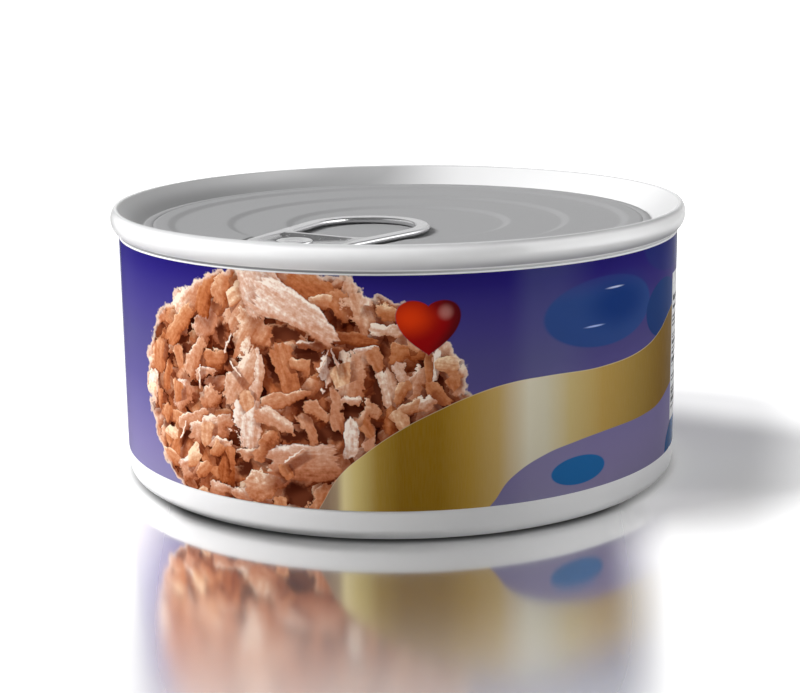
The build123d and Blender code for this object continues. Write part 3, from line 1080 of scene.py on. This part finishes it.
def ground_colour(sheet, u, z):
    """Violet that pales downwards, with a painted sheen in a pale upright band, and a haze low on the
    right.
    """
    up = sheet.ramp(z, GROUND_FOOT, GROUND_TOP, smooth=False)
    colour = sheet.colours(up, VIOLET_GROUND)
    # painted sheen: a pale upright band right of the front
    painted_sheen_band = sheet.times(sheet.ramp(u, 14.0, 18.5), sheet.ramp(u, 30.0, 21.0))
    colour = sheet.mix(sheet.times(painted_sheen_band, 0.05), colour, (0.60, 0.75, 0.80))
    haze = sheet.times(sheet.ramp(u, 12.0, 18.0), sheet.ramp(u, 76.0, 62.0), sheet.ramp(z, 24.0, 9.0))
    return sheet.mix(sheet.times(haze, 0.30), colour, paint(112, 104, 128, 20))


# Blue ovals and their streaks of light: middle, half size, softness, share, colour
BIG_OVAL = ((30.5, 28.8), (10.8, 4.8), 0.04)
BIG_OVAL_COLOUR = paint(34, 54, 100, 30)
OVALS = [
    ((33.5, 29.6), (5.5, 3.0), 0.7, 1.0, paint(16, 40, 90, 34)),
    ((47.0, 26.6), (6.6, 4.2), 0.03, 1.0, paint(22, 44, 88, 47)),
    ((50.5, 36.2), (11.0, 4.6), 0.05, 0.4, paint(20, 40, 84, 48)),
    ((32.3, 31.8), (1.5, 0.12), 0.6, 1.0, paint(150, 158, 190, 32)),
    ((28.3, 27.0), (1.5, 0.12), 0.6, 1.0, paint(128, 142, 180, 28)),
    ((25.8, 7.4), (4.8, 2.0), 0.04, 1.0, paint(26, 76, 122, 26)),
    ((55.5, 4.6), (6.5, 4.2), 0.04, 1.0, paint(4, 54, 98, 54)),
]


def oval_maker(sheet, place):
    """A call that gives the mask of an oval in the print."""
    oval = make_oval_group()

    def oval_mask(middle, half_size, soft):
        return sheet.group(
            oval, Place=place, Middle=(*middle, 0.0), Half_Size=(*half_size, 1.0), Soft=soft,
        )

    return oval_mask


def lay_ovals(sheet, colour, z, oval_mask):
    """The blue ovals on the right; the big one fades upwards."""
    fade_up = sheet.ramp(z, 34.0, 30.5, 0.35, 1.0)
    big_oval = sheet.times(oval_mask(*BIG_OVAL), fade_up)
    colour = sheet.mix(big_oval, colour, BIG_OVAL_COLOUR)
    for middle, half_size, soft, share, tone in OVALS:
        mask = oval_mask(middle, half_size, soft)
        if share < 1.0:
            mask = sheet.times(mask, share)
        colour = sheet.mix(mask, colour, tone)
    return colour


# Edges of the gold band, as (u, z)
BAND_LEFT, BAND_RIGHT = -14.0, 56.0
BAND_UPPER = [
    (-14, 0.0), (-11, 4.5), (-8, 9.3), (-5, 12.0), (0, 15.5), (5, 18.0), (10, 19.9), (15, 21.0),
    (20, 21.3), (30, 21.2), (40, 22.0), (45, 23.3), (50, 25.4), (56, 27.0),
]
BAND_LOWER = [
    (-14, 0.0), (8, 1.5), (12, 4.5), (15, 8.0), (20, 10.5), (25, 11.5), (30, 12.0),
    (40, 12.3), (45, 12.7), (50, 14.0), (56, 15.5),
]
BAND_BLUR = 0.06                     # softness of its edges
BAND_STOP = 52.0                     # where the striped panel cuts it off
GOLD_LEFT, GOLD_RIGHT = -12.0, 56.0


def gold_stop(u, red, green, blue):
    """Where a tone of the gold stands along the band, and the paint for it."""
    return ((u - GOLD_LEFT) / (GOLD_RIGHT - GOLD_LEFT), paint(red, green, blue, u))


# Tones along the gold band: the print's gold, with painted reflection in the pale stops near u -7.6 and u
# 17.5 to 20
GOLD_AND_REFLECTION_TONES = [
    gold_stop(-10, 120, 98, 80),
    gold_stop(-8.6, 140, 120, 95),
    gold_stop(-7.6, 188, 174, 128),
    gold_stop(-6, 172, 154, 98),
    gold_stop(-3, 126, 100, 38),
    gold_stop(0, 104, 76, 12),
    gold_stop(5, 104, 76, 12),
    gold_stop(9, 128, 100, 38),
    gold_stop(13, 144, 120, 72),
    gold_stop(17.5, 166, 160, 142),
    gold_stop(20, 160, 154, 134),
    gold_stop(24, 150, 134, 92),
    gold_stop(30, 136, 111, 58),
    gold_stop(38, 117, 94, 44),
    gold_stop(46, 97, 72, 22),
    gold_stop(52, 88, 64, 17),
]


def gold_band(sheet, u, z):
    """Mask and colour of the brushed gold band, its pale tones painted reflection, with a bright line
    along its upper edge.
    """
    upper = curve(sheet, u, BAND_LEFT, BAND_RIGHT, BAND_UPPER)
    lower = curve(sheet, u, BAND_LEFT, BAND_RIGHT, BAND_LOWER)
    below_upper = sheet.ramp(sheet.minus(upper, z), -BAND_BLUR, BAND_BLUR)
    above_lower = sheet.ramp(sheet.minus(z, lower), -BAND_BLUR, BAND_BLUR)
    band_end = sheet.ramp(u, BAND_STOP + 1.0, BAND_STOP)
    band = sheet.times(below_upper, above_lower, band_end)
    gold = sheet.colours(sheet.ramp(u, GOLD_LEFT, GOLD_RIGHT, smooth=False), GOLD_AND_REFLECTION_TONES)
    brushed = sheet.noise(sheet.join(sheet.times(u, 8.0), sheet.times(z, 0.6), 0.0), 0.7, 2.0)
    gold = sheet.mix(sheet.ramp(brushed, 0.3, 0.7, 0.0, 0.015), gold, (1.0, 0.95, 0.8))
    line = sheet.ramp(sheet.math("ABSOLUTE", sheet.minus(upper, z)), 0.16, 0.04)
    gold = sheet.mix(sheet.times(line, 0.45), gold, srgb(250, 236, 190))
    return band, gold


HEART_MIDDLE = (3.75, 28.55)
HEART_HALF_SIZE = (4.25, 3.75)


def red_heart(sheet, place, u, oval_mask):
    """Mask and colour of the heart, with a warm lit side, a dark side and a glint."""
    heart, from_middle = heart_shape(sheet, place, HEART_MIDDLE, HEART_HALF_SIZE)
    lit_side = oval_mask((1.4, 30.3), (2.4, 1.8), 0.9)
    red = sheet.mix(lit_side, paint(104, 7, 8, 4), paint(160, 40, 8, 2))
    dark_side = sheet.times(sheet.ramp(from_middle, 0.35, 1.0), sheet.ramp(u, 2.5, 7.0))
    red = sheet.mix(sheet.times(dark_side, 0.9), red, paint(52, 8, 12, 7))
    glint = sheet.times(oval_mask((6.0, 31.0), (0.8, 0.8), 0.7), 0.30)
    red = sheet.mix(glint, red, paint(190, 130, 120, 6))
    return heart, red


# The striped panel: how far it and its stripes reach, round the can and up it
PANEL_REACH = ((52.0, 62.1), (8.4, 30.6))
STRIPE_REACH = ((52.7, 60.6), (9.6, 29.4))


def block(sheet, u, z, reach):
    """Mask of an upright block in the print."""
    return sheet.times(sheet.window(u, *reach[0]), sheet.window(z, *reach[1]))


def lay_stripes(sheet, colour, u, z):
    """A white panel at the right end, crossed by stripes of uneven width."""
    panel = block(sheet, u, z, PANEL_REACH)
    colour = sheet.mix(panel, colour, pale(0.86, 0.01))
    rung = sheet.noise(sheet.join(0.0, z, 3.0), 1.9, 1.0)
    bars = sheet.ramp(rung, 0.50, 0.52)
    inside = block(sheet, u, z, STRIPE_REACH)
    return sheet.mix(sheet.times(bars, inside), colour, pale(0.03, 0.01))


PALE_STRIP_WIDTH = 0.22                     # width of a pale strip along the label's top, in millimetres
PALE_STRIP_BLUR = 0.04
PRINT_SHINE = 0.004                  # matte enough to keep the studio out of the label


def make_label_print():
    """The printed label, laid out in millimetres round the can and up it."""
    material, sheet, surface = blank_material("label_print")
    x, y, z = sheet.split(object_place(sheet))
    bearing = sheet.math("ARCTAN2", x, sheet.times(y, -1.0))
    u = sheet.times(bearing, LABEL_RADIUS / MM)
    place = sheet.join(u, z, 0.0)
    oval_mask = oval_maker(sheet, place)

    colour = ground_colour(sheet, u, z)
    colour = lay_ovals(sheet, colour, z, oval_mask)
    band, gold = gold_band(sheet, u, z)
    heap, tuna = tuna_heap(sheet, place)
    colour = sheet.mix(band, colour, gold)
    heart, red = red_heart(sheet, place, u, oval_mask)
    colour = sheet.mix(heart, colour, red)
    colour = lay_stripes(sheet, colour, u, z)
    print_top = LABEL_TOP / MM - PALE_STRIP_WIDTH
    pale_top_strip = sheet.ramp(z, print_top - PALE_STRIP_BLUR, print_top + PALE_STRIP_BLUR)
    colour = sheet.mix(pale_top_strip, colour, pale(0.95))

    paper = sheet.noise(place, 0.2, 2.0)
    gloss = sheet.ramp(paper, 0.3, 0.7, 0.13, 0.18)
    layers = []
    for layer_colour in (colour, tuna):
        shader = sheet.node("ShaderNodeBsdfPrincipled")
        sheet.feed(shader.inputs["Base Color"], layer_colour)
        sheet.feed(shader.inputs["Roughness"], gloss)
        shader.inputs["Specular IOR Level"].default_value = PRINT_SHINE
        layers.append(shader.outputs[0])
    covered = sheet.math("MAXIMUM", sheet.math("MAXIMUM", band, heart), pale_top_strip)
    tuna_shows = sheet.times(heap, sheet.minus(1.0, covered))
    sheet.feed(surface, sheet.blend_shaders(tuna_shows, *layers))
    return material


# ---------------------------------------------------------------- stage

CAMERA_DISTANCE = 259.06 * MM
CAMERA_ELEVATION = radians(7.91)
CAMERA_ROLL = radians(-0.734)
CAMERA_AIM = Vector((0.055 * MM, 0, CAN_HEIGHT - 22.9 * MM))
CAMERA_LENS = 76.97
CAMERA_SENSOR = 36.0

FLOOR_SIZE = 40.0
FLOOR_GLOW = 0.22
AMBIENT = 0.14
SOFTBOX = 5.0
DIMMEST_STUDIO = 0.12
BACKDROP = 1.25                      # brings the background to plain white

# Painted contact shadow: the floor darkens in under the can's edge, between these distances from the axis,
# in millimetres
UNDER_CAN, BESIDE_CAN = 40.3, 43.0

# Lamps: bearing and elevation, strength, and softness or size
KEY_PLACE = (radians(-83), radians(42))
KEY_STRENGTH = 4.1
KEY_SOFTNESS = radians(28)
FILL_PLACE = (radians(65), radians(25))
FILL_STRENGTH = 1.6
FILL_SIZE = 0.7
FILL_DISTANCE = 0.9


def outwards(bearing, elevation):
    """Direction away from the can. Bearing 0 is in front, and it grows to the right."""
    level = cos(elevation)
    return Vector((sin(bearing) * level, -cos(bearing) * level, sin(elevation)))


def make_camera():
    """Camera in front of the can, a little above its rim."""
    camera = bpy.data.objects.new("camera", bpy.data.cameras.new("camera"))
    bpy.context.scene.collection.objects.link(camera)
    camera.data.lens = CAMERA_LENS
    camera.data.sensor_width = CAMERA_SENSOR
    camera.data.clip_start = 0.01
    camera.data.clip_end = 50.0
    camera.location = Vector((0, 0, CAN_HEIGHT)) + CAMERA_DISTANCE * outwards(0.0, CAMERA_ELEVATION)
    aim = (CAMERA_AIM - camera.location).to_track_quat("-Z", "Y")
    camera.rotation_mode = "QUATERNION"
    camera.rotation_quaternion = aim @ Matrix.Rotation(CAMERA_ROLL, 3, "Z").to_quaternion()
    bpy.context.scene.camera = camera


def floor_glow(sheet, x, y):
    """Glow of the floor: an even part, and painted light past the right, far and front edges of the can's
    shadow, which trims that shadow.
    """
    side_lift = sheet.ramp(sheet.math("MULTIPLY_ADD", y, -0.25, x), 53.5, 69.0, 0.0, 0.42)
    back_lift = sheet.ramp(sheet.math("MULTIPLY_ADD", x, 0.6, y), 40.0, 62.0, 0.0, 0.5)
    back_lift = sheet.times(back_lift, sheet.ramp(x, 30.0, 44.0))
    front_lift = sheet.ramp(y, -17.0, -27.0, 0.0, 0.10)
    lift = sheet.plus(sheet.plus(side_lift, back_lift), front_lift)
    return sheet.plus(lift, FLOOR_GLOW)


def mirror_share(sheet, x, y, radius):
    """How much the floor mirrors: in front of the can, between its sides, and fading towards the front."""
    aside = sheet.plus(sheet.math("ABSOLUTE", sheet.plus(x, 1.2)), sheet.times(radius, 0.10))
    front = sheet.times(sheet.ramp(y, 6.0, -20.0), sheet.ramp(aside, 44.0, 32.0))
    near = sheet.times(sheet.ramp(radius, 58.0, 170.0, 0.96, 0.0), sheet.ramp(radius, 125.0, 92.0))
    return sheet.times(front, near)


def make_floor():
    """Pale floor that keeps the can's shadow, has a painted contact shadow under its edge, and mirrors the
    can softly in front.
    """
    bpy.ops.mesh.primitive_plane_add(size=FLOOR_SIZE, location=(0, 0, FLOOR_Z))
    floor = bpy.context.object
    floor.name = "floor"
    material, sheet, surface = blank_material("pale_floor")
    x, y, _ = sheet.split(object_place(sheet))
    radius = from_axis(sheet, x, y)
    clear_of_painted_shadow = sheet.ramp(radius, UNDER_CAN, BESIDE_CAN)
    matte = sheet.node("ShaderNodeBsdfDiffuse")
    # painted contact shadow on the floor under the can's edge
    sheet.feed(matte.inputs["Color"], sheet.mix(clear_of_painted_shadow, pale(0.12), pale(0.92)))
    glow = sheet.node("ShaderNodeEmission")
    path = sheet.node("ShaderNodeLightPath").outputs
    sheet.feed(glow.inputs["Strength"], sheet.times(path["Is Camera Ray"], floor_glow(sheet, x, y)))
    lit = sheet.node("ShaderNodeAddShader")
    sheet.feed(lit.inputs[0], matte.outputs[0])
    sheet.feed(lit.inputs[1], glow.outputs[0])
    gloss = sheet.node("ShaderNodeBsdfGlossy")
    # painted contact shadow in the floor's mirror too
    sheet.feed(gloss.inputs["Color"], sheet.mix(clear_of_painted_shadow, pale(0.15), pale(1.0)))
    sheet.feed(gloss.inputs["Roughness"], sheet.ramp(radius, 42.0, 100.0, 0.09, 0.22))
    share = mirror_share(sheet, x, y, radius)
    sheet.feed(surface, sheet.blend_shaders(share, lit.outputs[0], gloss.outputs[0]))
    floor.data.materials.append(material)
    floor.visible_glossy = False


def studio_light(sheet, direction):
    """What shiny surfaces see: a dark front, bright sides and a white backdrop."""
    x, y, z = sheet.split(direction)
    bearing = sheet.math("ARCTAN2", x, sheet.times(y, -1.0))

    def side(*angles):
        return sheet.ramp(bearing, *(radians(angle) for angle in angles))

    level = sheet.times(sheet.ramp(z, 0.5, 0.75, 1.0, 0.0), sheet.ramp(z, -0.45, -0.2))
    fading = sheet.ramp(bearing, radians(80), radians(134), SOFTBOX, 1.0)
    right = sheet.times(side(45, 54), fading)
    left = sheet.times(side(-35, -60), side(-165, -130))
    studio = sheet.math("MAXIMUM", sheet.times(level, sheet.math("MAXIMUM", right, left)), DIMMEST_STUDIO)
    backdrop = sheet.ramp(sheet.math("ABSOLUTE", bearing), radians(156), radians(168))
    return sheet.math("MAXIMUM", studio, backdrop)


def make_world():
    """Even pale light, a white background, and a studio that only shiny surfaces see."""
    world = bpy.data.worlds.new("studio")
    bpy.context.scene.world = world
    world.use_nodes = True
    world.node_tree.nodes.clear()
    sheet = Sheet(world.node_tree)
    output = sheet.node("ShaderNodeOutputWorld")
    back = sheet.node("ShaderNodeBackground")
    path = sheet.node("ShaderNodeLightPath").outputs
    direction = sheet.node("ShaderNodeTexCoord").outputs["Generated"]
    glossy = sheet.times(path["Is Glossy Ray"], studio_light(sheet, direction))
    plain = sheet.times(sheet.minus(1.0, path["Is Glossy Ray"]), AMBIENT)
    unseen = sheet.plus(glossy, plain)
    clear = sheet.math("MAXIMUM", path["Is Camera Ray"], path["Is Transmission Ray"])
    hidden = sheet.times(unseen, sheet.minus(1.0, clear))
    sheet.feed(back.inputs["Strength"], sheet.math("MULTIPLY_ADD", clear, BACKDROP, hidden))
    sheet.feed(output.inputs["Surface"], back.outputs[0])


def make_lamp(name, kind, direction, strength):
    """A lamp that shines along a direction, given outwards from the can; reflections leave it out."""
    data = bpy.data.lights.new(name, kind)
    data.energy = strength
    lamp = bpy.data.objects.new(name, data)
    bpy.context.scene.collection.objects.link(lamp)
    lamp.visible_glossy = False
    lamp.rotation_mode = "QUATERNION"
    lamp.rotation_quaternion = (-direction).to_track_quat("-Z", "Y")
    return lamp


def make_lights():
    """A sun with soft-edged shadows from the left, and a weak soft box on the right."""
    key = make_lamp("key", "SUN", outwards(*KEY_PLACE), KEY_STRENGTH)
    key.data.angle = KEY_SOFTNESS
    fill_direction = outwards(*FILL_PLACE)
    fill = make_lamp("fill", "AREA", fill_direction, FILL_STRENGTH)
    fill.data.size = FILL_SIZE
    fill.location = Vector((0, 0, CAN_HEIGHT / 2)) + FILL_DISTANCE * fill_direction


enamel = make_enamel()
lid_metal = make_lid_metal()
tab_metal = make_tab_metal()
label_print = make_label_print()
make_can_body(enamel)
make_lid(lid_metal)
make_rivet(tab_metal)
make_label(label_print)
make_tab(tab_metal)
make_camera()
make_floor()
make_world()
make_lights()

bpy.context.scene.view_settings.view_transform = "Standard"
